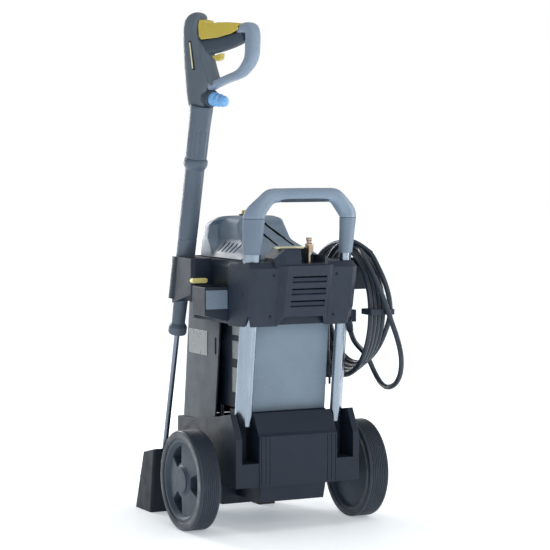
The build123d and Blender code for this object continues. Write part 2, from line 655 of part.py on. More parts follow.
def push_handle():
    """Grey handle with a grip over each tube."""
    half = handle_outline()
    face = make_face(Plane.XZ * Polyline(*half, close=True))
    arm = extrude(face, HANDLE_DEPTH / 2, both=True)
    shape = arm + mirror(arm, about=Plane.YZ)
    shape = rounded(shape, 7.0, lambda e: abs(abs(e.center().Y) - HANDLE_DEPTH / 2) < 0.1)
    shape = leaned(shape, TUBE_FOOT_Y, TUBE_FOOT_Z)
    for side in (-1, 1):
        shape -= tube_solid(side, 300, TUBE_LENGTH)
    return shape


def handle_insert():
    """Dark soft insert under the handle's cross bar."""
    shape = Pos(0, 0, 441.5) * Box(104, 20, 3)
    return leaned(shape, TUBE_FOOT_Y, TUBE_FOOT_Z)


def handle_tubes():
    """Oval aluminium tubes and the plugs in their lower ends."""
    plugs = []
    for side, name in ((1, "left"), (-1, "right")):
        tube = tube_solid(side, 0, TUBE_LENGTH) - tube_solid(side, -1, TUBE_LENGTH + 1, -TUBE_WALL)
        write(tube, "handle_tube_" + name)
        plugs.append(tube_solid(side, -2, 0) + tube_solid(side, 0, 14, -TUBE_WALL))
    write(Compound(plugs), "tube_end_plugs")


# ---- cable ------------------------------------------------------------------

def cable_hook():
    """Hook on the -X side whose saddle carries the coil."""
    x_in, x_out = -HEAD_HALF, -209.0
    shape = cylinder_band(x_out, x_in, 95, 106, 74, 130)
    shape += cylinder_band(x_out, x_out + 6, 95, 128, 78, 122)
    shape += block(x_in - 5, x_in, 74, 130, 440, 512)
    return shape + block(x_out + 6, x_in, 96, 104, 470, 524)


def cylinder_band(x0, x1, inner, outer, y0, y1):
    """Part of a ring round the coil's axis, between two Y planes, above the coil's centre."""
    length = x1 - x0
    band = Pos((x0 + x1) / 2, COIL_CENTRE[1], COIL_CENTRE[2]) * Rot(0, 90, 0) * Cylinder(outer, length)
    band -= Pos((x0 + x1) / 2, COIL_CENTRE[1], COIL_CENTRE[2]) * Rot(0, 90, 0) * Cylinder(inner, length + 2)
    return band & block(x0 - 1, x1 + 1, y0, y1, COIL_CENTRE[2], COIL_CENTRE[2] + outer + 1)


def cable_route(points, name):
    """Round tube of the cable along straight runs joined by arcs as large as the runs allow."""
    vectors = [Vector(*p) for p in points]
    radii = []
    for a, b, c in zip(vectors, vectors[1:], vectors[2:]):
        turn = math.radians((b - a).get_angle(c - b))
        run = min((b - a).length, (c - b).length)
        radii.append(0.45 * run / math.tan(turn / 2))
    print(name, "radii", [round(r, 1) for r in radii], "runs",
          [round((b - a).length, 1) for a, b in zip(vectors, vectors[1:])])
    path = FilletPolyline(*points, radius=radii)
    section = Plane(path @ 0, z_dir=path % 0) * Circle(CABLE_D / 2)
    tube = sweep(section, path=path)
    print(name, "volume ratio", round(tube.volume / (math.pi * (CABLE_D / 2) ** 2 * path.length), 4),
          "length", round(path.length, 1))
    write(tube, name)


def blank_labels():
    """Plain plates on the front cover's side and on the inner casing."""
    lean_at = (360 - 197) * LEAN
    plates = [block(COVER_HALF, COVER_HALF + 0.8, -128 + lean_at, -38 + lean_at, 335, 385)]
    for z0, z1 in ((268, 318), (336, 372), (384, 402)):
        plates.append(block(81, 81.8, 62, 96, z0, z1))
    return Compound(plates)


def cable_gland():
    """Strain relief below the head's rear corner on the -X side."""
    shape = block(-142, -110, 154, 176, HEAD_BOTTOM - 1.9, 434)
    shape = rounded(shape, 4.0, lambda e: abs(e.tangent_at(0.5).Z) > 0.99)
    sleeve = turned([(0, 0), (6.5, 0), (8.5, 16), (8.5, 34), (0, 34)])
    shape += Plane(origin=LEAD_ROUTE[0], z_dir=(0.49, 0.49, 0.72)).location * sleeve
    return shape - rear_cover_solid() - tube_solid(-1, 150, 380, TUBE_CLEARANCE)


def cable_coil():
    """Outer shape of the wound cable."""
    solid = ring(COIL_OUTER, COIL_INNER, -COIL_HALF, COIL_HALF)
    solid = rounded(solid, 12.0, lambda e: e.geom_type == GeomType.CIRCLE)
    return Pos(*COIL_CENTRE) * Rot(0, 90, 0) * solid


def cable_tie():
    """Strap round the coil at the rear."""
    x, y, z = COIL_CENTRE
    reach = COIL_OUTER + 2.5
    outer = block(x - COIL_HALF - 2.5, x + COIL_HALF + 2.5, y + COIL_INNER - 2.5, y + reach, z - 2, z + 9)
    inner = block(x - COIL_HALF, x + COIL_HALF, y + COIL_INNER, y + COIL_OUTER, z - 3, z + 10)
    return rounded(outer, 4.0, lambda e: abs(e.tangent_at(0.5).Z) > 0.99) - inner


def mains_plug():
    """Mains plug hanging at the cable's end, pins down."""
    x, y, top = TAIL_ROUTE[-1]
    body = turned([(0, 0), (5.5, 0), (8, -22), (14, -28), (14.5, -50), (12, -54), (0, -54)])
    for side in (-1, 1):
        body += Pos(side * 9.5 * 0.6, 0, -61) * Cylinder(2.4, 16)
    return Pos(x, y, top) * body


if __name__ == "__main__":
    wheels()
    write(base_chassis(), "base_chassis")
    write(front_feet(), "front_feet")
    write(lance_boot(), "lance_boot")
    write(water_inlet(), "water_inlet")
    write(inlet_coupling(), "inlet_coupling")
    write(rear_panel(), "rear_panel")
    write(motor_housing(), "motor_housing")
    motor_parts()
    small_inner_parts()
    write(front_cover(), "front_cover")
    write(hood(), "hood")
    write(switch_bezel(), "switch_bezel")
    write(switch_knob(), "switch_knob")
    write(head_frame(), "head_frame")
    write(rear_cover(), "rear_cover")
    write(cover_screws(), "cover_screws")
    write(outlet_fitting(), "outlet_fitting")
    write(accessory_pocket(), "accessory_pocket")
    write(pocket_plate(), "pocket_plate")
    write(lance_bracket(), "lance_bracket")
    write(clip_button(), "clip_button")
    lance()
    write(union_nut(), "union_nut")
    write(gun_body(), "gun_body")
    write(gun_loop(), "gun_loop")
    write(trigger(), "trigger")
    write(safety_catch(), "safety_catch")
    write(gun_cap(), "gun_cap")
    write(gun_inlay(), "gun_inlay")
    write(push_handle(), "push_handle")
    write(handle_insert(), "handle_insert")
    handle_tubes()
    write(cable_hook(), "cable_hook")
    write(cable_gland(), "cable_gland")
    write(cable_coil(), "cable_coil")
    write(cable_tie(), "cable_tie")
    write(mains_plug(), "mains_plug")
    cable_route(LEAD_ROUTE, "cable_lead")
    cable_route(TAIL_ROUTE, "cable_tail")
    write(blank_labels(), "blank_labels")
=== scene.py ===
import json
import math

import bmesh
import bpy
from mathutils import Matrix, Vector


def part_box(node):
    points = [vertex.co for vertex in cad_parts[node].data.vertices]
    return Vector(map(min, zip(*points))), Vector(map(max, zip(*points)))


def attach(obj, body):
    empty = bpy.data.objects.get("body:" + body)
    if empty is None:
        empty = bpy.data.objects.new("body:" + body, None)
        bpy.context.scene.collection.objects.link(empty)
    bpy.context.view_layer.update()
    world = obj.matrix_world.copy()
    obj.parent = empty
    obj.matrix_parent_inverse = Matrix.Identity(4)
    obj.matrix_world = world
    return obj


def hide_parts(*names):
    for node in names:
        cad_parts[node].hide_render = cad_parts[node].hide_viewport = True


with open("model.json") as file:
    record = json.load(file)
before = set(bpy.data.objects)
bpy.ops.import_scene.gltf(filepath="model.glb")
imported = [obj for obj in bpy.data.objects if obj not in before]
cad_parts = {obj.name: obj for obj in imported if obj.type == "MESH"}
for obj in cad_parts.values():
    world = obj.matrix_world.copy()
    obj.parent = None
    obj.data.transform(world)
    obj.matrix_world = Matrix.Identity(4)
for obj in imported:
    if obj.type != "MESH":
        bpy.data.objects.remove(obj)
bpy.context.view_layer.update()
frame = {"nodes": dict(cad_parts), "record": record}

MM = 0.001
UP = Vector((0, 0, 1))
NODES = frame["nodes"]
BODY_OF = {node: body for body, nodes in frame["record"]["behaviour"]["bodies"].items() for node in nodes}
SLOT_OF = {part["node"]: part["material_slot"] for part in frame["record"]["subparts"]}


# ---- camera ---------------------------------------------------------------------

def make_camera():
    """Camera behind the machine, at the lance's side, nearly level."""
    data = bpy.data.cameras.new("camera")
    data.lens = 135.648
    data.sensor_width = 36.0
    camera = bpy.data.objects.new("camera", data)
    bpy.context.collection.objects.link(camera)
    camera.location = (1.8754, 3.8181, 0.7594)
    towards = Vector((-0.44866, -0.89162, -0.06125))
    camera.rotation_euler = towards.to_track_quat("-Z", "Y").to_euler()
    bpy.context.scene.camera = camera


# ---- materials -------------------------------------------------------------------

class Nodes:
    """A material's node tree, with short calls to add and link its nodes."""

    def __init__(self, name):
        self.material = bpy.data.materials.new(name)
        self.material.use_nodes = True
        self.tree = self.material.node_tree
        self.shader = self.tree.nodes["Principled BSDF"]
        self.place = self.add("ShaderNodeTexCoord").outputs["Object"]

    def add(self, kind, **values):
        """A node with its properties and unlinked inputs set by name."""
        node = self.tree.nodes.new(kind)
        for key, value in values.items():
            if hasattr(node, key):
                setattr(node, key, value)
            else:
                node.inputs[key.replace("_", " ")].default_value = value
        return node

    def link(self, output, socket):
        """Feed an output into a socket."""
        self.tree.links.new(output, socket)

    def noise(self, scale, detail=2.0, stretch=(1, 1, 1)):
        """Noise over the object's own coordinates, in features per metre."""
        spread = self.add("ShaderNodeVectorMath", operation="MULTIPLY")
        spread.inputs[1].default_value = stretch
        self.link(self.place, spread.inputs[0])
        noise = self.add("ShaderNodeTexNoise", Scale=scale, Detail=detail)
        self.link(spread.outputs[0], noise.inputs["Vector"])
        return noise.outputs["Fac"]

    def span(self, value, low, high, start=0.3, end=0.7):
        """A value from start to end, spread over low to high."""
        spread = self.add("ShaderNodeMapRange")
        for socket, number in zip(spread.inputs[1:5], (start, end, low, high)):
            socket.default_value = number
        self.link(value, spread.inputs[0])
        return spread.outputs[0]

    def mix(self, factor, first, second):
        """Colour between two colours or colour outputs."""
        node = self.add("ShaderNodeMix", data_type="RGBA")
        self.link(factor, node.inputs[0])
        for socket, value in ((node.inputs[6], first), (node.inputs[7], second)):
            if isinstance(value, bpy.types.NodeSocket):
                self.link(value, socket)
            else:
                socket.default_value = (*value, 1)
        return node.outputs[2]

    def rounded_normal(self, radius):
        """Shading normal that rounds the edges."""
        return self.add("ShaderNodeBevel", samples=4, Radius=radius).outputs[0]

    def edge(self, normal):
        """How near a point is to an edge, from the rounded normal's turn."""
        turn = self.add("ShaderNodeVectorMath", operation="DOT_PRODUCT")
        self.link(normal, turn.inputs[0])
        self.link(self.add("ShaderNodeNewGeometry").outputs["Normal"], turn.inputs[1])
        return self.span(turn.outputs["Value"], 1.0, 0.0, 0.86, 0.995)

    def bump(self, height, distance, normal=None):
        """Normal with a relief of the given height in metres."""
        node = self.add("ShaderNodeBump", Distance=distance)
        self.link(height, node.inputs["Height"])
        if normal is not None:
            self.link(normal, node.inputs["Normal"])
        return node.outputs[0]


def shade(colour, factor):
    """A colour made darker or lighter, never above white."""
    return tuple(min(1.0, channel * factor) for channel in colour)


def moulded(name, colour, roughness, grain=0.00006, grain_scale=1500.0, edge_wear_and_highlight=1.5, specular=0.5, mottle=0.14):
    """Moulded plastic: uneven tone, scuffed gloss, spark-eroded grain, and paler edges that are partly wear
    and partly a painted highlight.
    """
    n = Nodes(name)
    tone = n.mix(n.span(n.noise(11, 5), 0, 1), shade(colour, 1 - mottle), shade(colour, 1 + mottle))
    speck = n.mix(n.span(n.noise(700, 2), 0, 1, 0.35, 0.75), tone, shade(colour, 1.25))
    soft = n.rounded_normal(0.0012)
    # edges made paler in patches: partly wear, partly a painted highlight along the rounded edges
    worn_and_lit = n.add("ShaderNodeMath", operation="MULTIPLY")
    n.link(n.edge(soft), worn_and_lit.inputs[0])
    n.link(n.span(n.noise(120, 4), 0.15, 0.6), worn_and_lit.inputs[1])
    n.link(n.mix(worn_and_lit.outputs[0], speck, shade(colour, edge_wear_and_highlight)), n.shader.inputs["Base Color"])
    n.link(n.span(n.noise(38, 5), roughness - 0.07, roughness + 0.08), n.shader.inputs["Roughness"])
    n.link(n.bump(n.noise(grain_scale, 2), grain, soft), n.shader.inputs["Normal"])
    n.shader.inputs["Specular IOR Level"].default_value = specular
    return n.material


def rubber(name, colour, roughness=0.6):
    """Rubber with dust in its pores and a matt, pitted surface."""
    n = Nodes(name)
    dust = n.span(n.noise(24, 6), 0, 0.5)
    n.link(n.mix(dust, colour, shade(colour, 1.9)), n.shader.inputs["Base Color"])
    n.link(n.span(n.noise(50, 4), roughness - 0.12, roughness + 0.1), n.shader.inputs["Roughness"])
    n.link(n.bump(n.noise(900, 3), 0.00012, n.rounded_normal(0.0008)), n.shader.inputs["Normal"])
    return n.material


def drawn_metal(name, colour, roughness, stretch=(600, 600, 6), streak=0.00002):
    """Metal with fine lines along its length and a slightly uneven gloss."""
    n = Nodes(name)
    lines = n.noise(1.0, 4, stretch)
    n.link(n.mix(n.span(lines, 0, 1), shade(colour, 0.82), shade(colour, 1.1)), n.shader.inputs["Base Color"])
    n.link(n.span(lines, roughness - 0.06, roughness + 0.1), n.shader.inputs["Roughness"])
    n.link(n.bump(lines, streak, n.rounded_normal(0.0006)), n.shader.inputs["Normal"])
    n.shader.inputs["Metallic"].default_value = 1.0
    return n.material


def cast_metal(name, colour, roughness):
    """Sand-rough cast or painted metal."""
    n = Nodes(name)
    n.link(n.mix(n.span(n.noise(60, 5), 0, 1), shade(colour, 0.75), shade(colour, 1.15)),
           n.shader.inputs["Base Color"])
    n.link(n.span(n.noise(90, 3), roughness - 0.08, roughness + 0.1), n.shader.inputs["Roughness"])
    n.link(n.bump(n.noise(600, 4), 0.0002, n.rounded_normal(0.001)), n.shader.inputs["Normal"])
    n.shader.inputs["Metallic"].default_value = 0.8
    return n.material


def cable_jacket(name, colour):
    """Satin rubber jacket with faint flow lines and dust."""
    n = Nodes(name)
    dust = n.span(n.noise(30, 6), 0, 0.6)
    n.link(n.mix(dust, colour, shade(colour, 1.6)), n.shader.inputs["Base Color"])
    n.link(n.span(n.noise(80, 3), 0.3, 0.46), n.shader.inputs["Roughness"])
    n.link(n.bump(n.noise(1400, 2), 0.00005), n.shader.inputs["Normal"])
    return n.material


def make_materials():
    """One material for each of the record's slots, and darker or paler variants."""
    return {
        "black_plastic": moulded("black_plastic", (0.009, 0.017, 0.032), 0.46, edge_wear_and_highlight=3.0, specular=0.35),
        "grey_plastic": moulded("grey_plastic", (0.165, 0.22, 0.285), 0.44),
        "front_grey": moulded("front_grey", (0.032, 0.046, 0.064), 0.46),
        "panel_grey": moulded("panel_grey", (0.18, 0.24, 0.305), 0.46),
        "cover_black": moulded("cover_black", (0.016, 0.026, 0.044), 0.48, edge_wear_and_highlight=2.6, specular=0.35),
        "boot_grey": moulded("boot_grey", (0.008, 0.014, 0.022), 0.55, edge_wear_and_highlight=2.4, specular=0.25),
        "loop_grey": moulded("loop_grey", (0.2, 0.26, 0.34), 0.42),
        "plate_grey": moulded("plate_grey", (0.13, 0.172, 0.23), 0.36, 0.00002, mottle=0.05),
        "handle_grey": moulded("handle_grey", (0.2, 0.265, 0.345), 0.44),
        "lance_grey": moulded("lance_grey", (0.083, 0.112, 0.152), 0.46),
        "gun_grey": moulded("gun_grey", (0.085, 0.112, 0.14), 0.48),
        "grip_black": moulded("grip_black", (0.04, 0.058, 0.078), 0.6, 0.00012, 900, specular=0.35),
        "sleeve_grey": moulded("sleeve_grey", (0.14, 0.187, 0.25), 0.5, 0.0001, 1000),
        "lance_steel": drawn_metal("lance_steel", (0.2, 0.23, 0.28), 0.26, (90, 90, 3)),
        "dark_steel": drawn_metal("dark_steel", (0.035, 0.042, 0.055), 0.4),
        "label_light": moulded("label_light", (0.25, 0.27, 0.275), 0.3, 0.00001, edge_wear_and_highlight=1.05, mottle=0.03),
        "light_plastic": moulded("light_plastic", (0.22, 0.27, 0.36), 0.5, edge_wear_and_highlight=1.2),
        "wheel_plastic": moulded("wheel_plastic", (0.05, 0.07, 0.095), 0.52, edge_wear_and_highlight=2.0, specular=0.35),
        # near-black used only as painted shade: slot walls, the inlay's recess strip, the corner screws' dark
        # holes and the front cover's rear part
        "deep_black": moulded("deep_black", (0.008, 0.011, 0.017), 0.6),
        "tyre_rubber": rubber("tyre_rubber", (0.014, 0.023, 0.038), 0.46),
        "foot_rubber": rubber("foot_rubber", (0.02, 0.022, 0.026), 0.7),
        "steel": drawn_metal("steel", (0.5, 0.56, 0.64), 0.26),
        "aluminium": drawn_metal("aluminium", (0.3, 0.35, 0.41), 0.24, (160, 160, 2), 0.000003),
        "brass": drawn_metal("brass", (0.6, 0.46, 0.34), 0.24, (40, 40, 900)),
        "copper_iron": cast_metal("copper_iron", (0.3, 0.13, 0.06), 0.45),
        "cast_alu": cast_metal("cast_alu", (0.5, 0.52, 0.55), 0.42),
        "yellow_plastic": moulded("yellow_plastic", (0.5, 0.39, 0.06), 0.34, edge_wear_and_highlight=1.2),
        "button_yellow": moulded("button_yellow", (0.78, 0.68, 0.26), 0.34, edge_wear_and_highlight=1.2),
        "blue_plastic": moulded("blue_plastic", (0.17, 0.4, 0.72), 0.28, edge_wear_and_highlight=1.3),
        "cable_rubber": cable_jacket("cable_rubber", (0.018, 0.027, 0.042)),
        "inlay": moulded("inlay", (0.78, 0.76, 0.5), 0.4, edge_wear_and_highlight=1.1),
    }


make_camera()
MATERIALS = make_materials()


# ---- making pieces -----------------------------------------------------------------

SHARP_EDGE = math.radians(28)


def paint(obj, material):
    """Give an object one material."""
    obj.data.materials.clear()
    obj.data.materials.append(MATERIALS[material])
    return obj


def smooth(obj):
    """Shade every face of an object smooth."""
    obj.data.polygons.foreach_set("use_smooth", [True] * len(obj.data.polygons))
    return obj


def new_object(name, bm):
    """A linked object with a bmesh's shape; the bmesh is freed."""
    mesh = bpy.data.meshes.new(name)
    bm.to_mesh(mesh)
    bm.free()
    obj = bpy.data.objects.new(name, mesh)
    bpy.context.collection.objects.link(obj)
    return obj


def solid(name, vertices, faces):
    """An object from vertices and faces, its faces turned outwards."""
    bm = bmesh.new()
    corners = [bm.verts.new(vertex) for vertex in vertices]
    for face in faces:
        bm.faces.new([corners[index] for index in face])
    bmesh.ops.recalc_face_normals(bm, faces=bm.faces)
    return new_object(name, bm)


def piece(name, vertices, faces, body, material, slot=None, replaces=()):
    """A mesh piece that rides on a body; slot is not used."""
    obj = paint(smooth(solid(name, vertices, faces)), material)
    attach(obj, body)
    if replaces:
        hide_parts(*replaces)
    return obj


def settle(obj):
    """Turn an object's modifiers into plain mesh."""
    graph = bpy.context.evaluated_depsgraph_get()
    mesh = bpy.data.meshes.new_from_object(obj.evaluated_get(graph))
    obj.modifiers.clear()
    obj.data = mesh
    return obj


def soften(node, width, material, behind=None):
    """A copy of a CAD node with rounded edges, shown in its place; faces past the y given as behind are
    painted in the black of shade.
    """
    bm = bmesh.new()
    bm.from_mesh(NODES[node].data)
    bmesh.ops.remove_doubles(bm, verts=bm.verts, dist=2e-5)
    bmesh.ops.dissolve_limit(bm, angle_limit=math.radians(0.6), verts=bm.verts, edges=bm.edges)
    if behind is not None:
        bmesh.ops.bisect_plane(bm, geom=[*bm.verts, *bm.edges, *bm.faces], plane_co=(0, behind, 0),
                               plane_no=(0, 1, 0))
    obj = new_object(node + "_shell", bm)
    bevel = obj.modifiers.new("edges", "BEVEL")
    bevel.limit_method = "ANGLE"
    bevel.angle_limit = SHARP_EDGE
    bevel.width = width
    bevel.segments = 2
    bevel.use_clamp_overlap = True
    bevel.miter_outer = "MITER_ARC"
    smooth(settle(obj))
    weighted = obj.modifiers.new("flat_faces", "WEIGHTED_NORMAL")
    weighted.weight = 90
    paint(settle(obj), material)
    # painted shade: the faces past this y get the near-black of shade
    if behind is not None:
        obj.data.materials.append(MATERIALS["deep_black"])
        for face in obj.data.polygons:
            face.material_index = int(face.center.y > behind)
    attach(obj, BODY_OF[node])
    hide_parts(node)


def rings_to_faces(count, around):
    """Faces of a tube with closed ends, made of count rings with around points each."""
    faces = []
    for ring in range(count - 1):
        for k in range(around):
            a, b = ring * around + k, ring * around + (k + 1) % around
            faces.append((a, b, b + around, a + around))
    faces.append(tuple(reversed(range(around))))
    faces.append(tuple(range((count - 1) * around, count * around)))
    return faces


def turned(profile, place, around):
    """Vertices and faces of an (r, z) outline turned round Z, closed on itself, then placed."""
    rings = []
    for step in range(around):
        angle = 2 * math.pi * step / around
        for r, z in profile:
            rings.append(place @ Vector((r * math.cos(angle), r * math.sin(angle), z)))
    count = len(profile)
    faces = []
    for step in range(around):
        following = (step + 1) % around
        for k in range(count):
            j = (k + 1) % count
            faces.append((step * count + k, step * count + j, following * count + j, following * count + k))
    return rings, faces


def facing(point, way):
    """Placement of something turned round Z, with its Z along a direction."""
    return Matrix.Translation(point) @ way.to_track_quat("Z", "Y").to_matrix().to_4x4()


def oval(centre, across, deep, power, around):
    """Rounded section: a superellipse with two half-axis vectors."""
    points = []
    for k in range(around):
        angle = 2 * math.pi * k / around
        c, s = math.cos(angle), math.sin(angle)
        points.append(centre + across * math.copysign(abs(c) ** (2 / power), c)
                      + deep * math.copysign(abs(s) ** (2 / power), s))
    return points


def blend_rows(table, along):
    """A row of the table between two given ones, on a smooth line through them all."""
    index = min(int(along), len(table) - 2)
    t = along - index
    rows = [table[min(max(index + k, 0), len(table) - 1)] for k in (-1, 0, 1, 2)]
    return [0.5 * (2 * b + (c - a) * t + (2 * a - 5 * b + 4 * c - d) * t * t
                   + (3 * b - a - 3 * c + d) * t ** 3) for a, b, c, d in zip(*rows)]


def smooth_rows(rows, steps):
    """Rows of a table with smoothly interpolated rows between them."""
    count = (len(rows) - 1) * steps
    return [blend_rows(rows, k / steps) for k in range(count)] + [list(rows[-1])]


def loft(name, rings, body, material, slot=None, replaces=()):
    """Closed shell through rings of equally many points."""
    around = len(rings[0])
    return piece(name, [point for ring in rings for point in ring],
                 rings_to_faces(len(rings), around), body, material, slot, replaces=replaces)


# ---- mains cable ---------------------------------------------------------------------

CABLE_D = 0.0106
COIL_CENTRE = (-0.175, 0.077, 0.428)
COIL_R = 0.1262
COIL_TURNS = 5
COIL_PITCH = 0.0108
# control points in millimetres: from the gland up to the coil, and from the coil down to the plug
LEAD_ROUTE = [(-134, 163, 392), (-146, 151, 374), (-163, 136, 360), (-183, 122, 347), (-203, 113, 330),
              (-212, 115, 309), (-216, 127, 290), (-215, 147, 278), (-212, 172, 273), (-209, 201, 277),
              (-206, 229, 290), (-203, 249, 313), (-199, 257, 345), (-193, 251, 380), (-186, 239, 413),
              (-179, 229, 446), (-170, 219, 478), (-162, 204, 508), (-158, 183, 534), (-160, 161, 551),
              (-166, 140, 554)]
TAIL_ROUTE = [(-185, 178, 528), (-181, 160, 549), (-164, 128, 569), (-154, 107, 569), (-145, 88, 559),
              (-138, 73, 542), (-134, 65, 521), (-134, 65, 478), (-134, 64, 420), (-134, 64, 342)]


def in_coil(point):
    """Angle in degrees, radius and x offset of a point round the coil's axis."""
    y, z = point[1] - COIL_CENTRE[1], point[2] - COIL_CENTRE[2]
    return math.degrees(math.atan2(z, y)), math.hypot(y, z), point[0] - COIL_CENTRE[0]


def ease(value):
    """Smooth step from 0 to 1."""
    value = min(max(value, 0.0), 1.0)
    return value * value * (3 - 2 * value)


def coil_points(start, end):
    """Points of the wound cable from one point to another, its turns beside each other."""
    angle_0, radius_0, side_0 = in_coil(start)
    angle_1, radius_1, side_1 = in_coil(end)
    total = 360 * COIL_TURNS + angle_1 - angle_0
    steps = 16 * COIL_TURNS
    points = []
    for step in range(1, steps):
        along = total * step / steps
        angle = math.radians(angle_0 + along)
        layer = (0.5 * total - along) / 360 * COIL_PITCH
        slope = math.radians(30 - 18 * math.cos(angle) - 8 * math.sin(angle))
        side, radius = layer * math.cos(slope), COIL_R + layer * math.sin(slope)
        sag = 0.0025 * math.sin(3.1 * math.radians(along) + 1.0) * max(0.0, -math.sin(angle))
        leave, arrive = ease(along / 75), ease((total - along) / 75)
        side = side_0 + (side - side_0) * leave
        radius = radius_0 + (radius - radius_0) * leave
        bulge = 0.012 * math.sin(math.pi * arrive) * (arrive < 1)
        side = side_1 + (side - side_1) * arrive - bulge
        radius = radius_1 + (radius - radius_1) * arrive + sag
        points.append((COIL_CENTRE[0] + side, COIL_CENTRE[1] + radius * math.cos(angle),
                       COIL_CENTRE[2] + radius * math.sin(angle)))
    return points


def make_cable():
    """The whole mains cable as one smooth line: lead, coil and tail with its plug."""
    lead = [tuple(value * MM for value in point) for point in LEAD_ROUTE]
    tail = [tuple(value * MM for value in point) for point in TAIL_ROUTE]
    points = lead + coil_points(lead[-1], tail[0]) + tail
    curve = bpy.data.curves.new("mains_cable", "CURVE")
    curve.dimensions = "3D"
    curve.bevel_depth = CABLE_D / 2
    curve.bevel_resolution = 5
    curve.resolution_u = 6
    spline = curve.splines.new("NURBS")
    spline.points.add(len(points) - 1)
    for target, point in zip(spline.points, points):
        target.co = (*point, 1)
    spline.order_u = 3
    spline.use_endpoint_u = True
    cable = bpy.data.objects.new("mains_cable", curve)
    bpy.context.collection.objects.link(cable)
    paint(cable, "cable_rubber")
    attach(cable, "machine")
    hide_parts("cable_lead", "cable_coil", "cable_tail")


make_cable()


# ---- CAD parts with a better finish --------------------------------------------------

# finish of a node, where it isn't its slot's own
FINISHES = {
    "front_cover": "front_grey",
    "rear_panel": "panel_grey",
    "lance_sleeve": "lance_grey",
    "union_nut": "lance_grey",
    "lance_boot": "boot_grey",
    "blank_labels": "label_light",
    "cover_screws": "dark_steel",
    "lance_tube": "lance_steel",
    "pocket_plate": "plate_grey",
    "clip_button": "button_yellow",
    "rear_cover": "cover_black",
}

# radius of a housing's rounded edges, in millimetres
ROUNDED = {
    "rear_cover": 1.1, "head_frame": 1.4, "front_cover": 3.0, "rear_panel": 1.6, "motor_housing": 2.0,
    "accessory_pocket": 1.3, "lance_bracket": 1.2, "lance_boot": 2.6, "cable_hook": 1.4, "cable_gland": 0.8,
    "trigger": 1.2, "safety_catch": 1.0, "clip_button": 0.8, "union_nut": 0.5, "lance_sleeve": 0.5,
    "wheel_rim_left": 0.8, "wheel_rim_right": 0.8, "hub_cap_left": 0.6, "hub_cap_right": 0.6,
    "front_feet": 1.5, "switch_knob": 1.0, "switch_bezel": 0.5, "gun_inlay": 0.5,
}
COVER_SHADE_Y = 0.037


def finish_nodes():
    """Every CAD part gets its material; housings are shown with rounded edges."""
    for node, obj in NODES.items():
        material = FINISHES.get(node, SLOT_OF[node])
        if node in ROUNDED:
            # the rear part of the front cover is painted in the black of shade
            shade_y = COVER_SHADE_Y if node == "front_cover" else None
            soften(node, ROUNDED[node] * MM, material, behind=shade_y)
        for index in range(len(obj.data.materials)):
            obj.data.materials[index] = MATERIALS[material]


# ---- hood ------------------------------------------------------------------------------

# height, half width at the front, behind the step and at the rear, front y, rear y, corner radius
HOOD_LEVELS = [
    (537, 88, 88, 88, -106, 128, 40), (548, 88, 84, 80, -106, 120, 40), (560, 87, 74, 66, -105, 92, 40),
    (571, 86, 66, 59, -104, 62, 41), (577, 84.5, 65, 58, -104, 50, 42), (590, 82, 64, 56, -102, 41, 42),
    (602, 79, 62, 54, -98, 33, 40), (612, 72, 57, 50, -72, 31, 34), (617.5, 62, 50, 44, -63, 24, 30),
    (619.6, 46, 37, 32, -50, 10, 26), (620, 20, 16, 12, -36, -10, 8),
]
# start on the dome, foot of the dome and end on the ramp
GROOVES = [
    [(-6, 32, 606), (-40, 50, 576), (-45, 86, 562)],
    [(3, 44, 584), (-6, 53, 575), (-8, 86, 562)],
]
GROOVE_DEPTH = 0.004
GROOVE_HALF = 0.0028
LOUVRE = (0.026, 0.0045, 0.016)
LOUVRE_PLACE = Vector((0.0735, -0.002, 0.5585))
LOUVRE_PITCH = 0.017
KNOB_WELL = Vector((0, -0.034, 0.618))
KNOB_WELL_R = 0.0193


def straight(start, end, count):
    """Evenly spaced points from start up to, but not with, end."""
    return [(start[0] + (end[0] - start[0]) * k / count, start[1] + (end[1] - start[1]) * k / count)
            for k in range(count)]


def hood_outline(row):
    """Outline of the hood at one height: front corner, side, step, narrower rear part."""
    z, wide, step, rear_half, front, rear, radius = row
    corner = (wide - radius, front + radius)
    half = straight((0, front), (corner[0], front), 6)
    for k in range(12):
        angle = math.radians(-90 + 90 * k / 12)
        half.append((corner[0] + radius * math.cos(angle), corner[1] + radius * math.sin(angle)))
    depth = rear - front
    step_y = front + depth * 0.36
    half += straight((wide, corner[1]), (wide, step_y), 6)
    half += straight((wide, step_y), (step, step_y + 8), 4)
    rear_radius = min(8, rear_half / 2)
    half += straight((step, step_y + 8), (rear_half, rear - rear_radius), 10)
    for k in range(6):
        angle = math.radians(90 * k / 6)
        half.append((rear_half - rear_radius * (1 - math.cos(angle)),
                     rear - rear_radius * (1 - math.sin(angle))))
    half += straight((rear_half - rear_radius, rear), (0, rear), 6)
    mirrored = [(-x, y) for x, y in reversed(half[1:])]
    return [(x * MM, y * MM, z * MM) for x, y in half + [(0, rear)] + mirrored]


def louvre(place):
    """A block with rounded edges that cuts one louvre."""
    bm = bmesh.new()
    bmesh.ops.create_cube(bm, size=1)
    bmesh.ops.scale(bm, vec=LOUVRE, verts=bm.verts)
    bmesh.ops.bevel(bm, geom=bm.edges, offset=min(LOUVRE) * 0.3, segments=2, affect="EDGES", profile=0.5)
    bmesh.ops.transform(bm, matrix=place, verts=bm.verts)
    return new_object("louvre", bm)


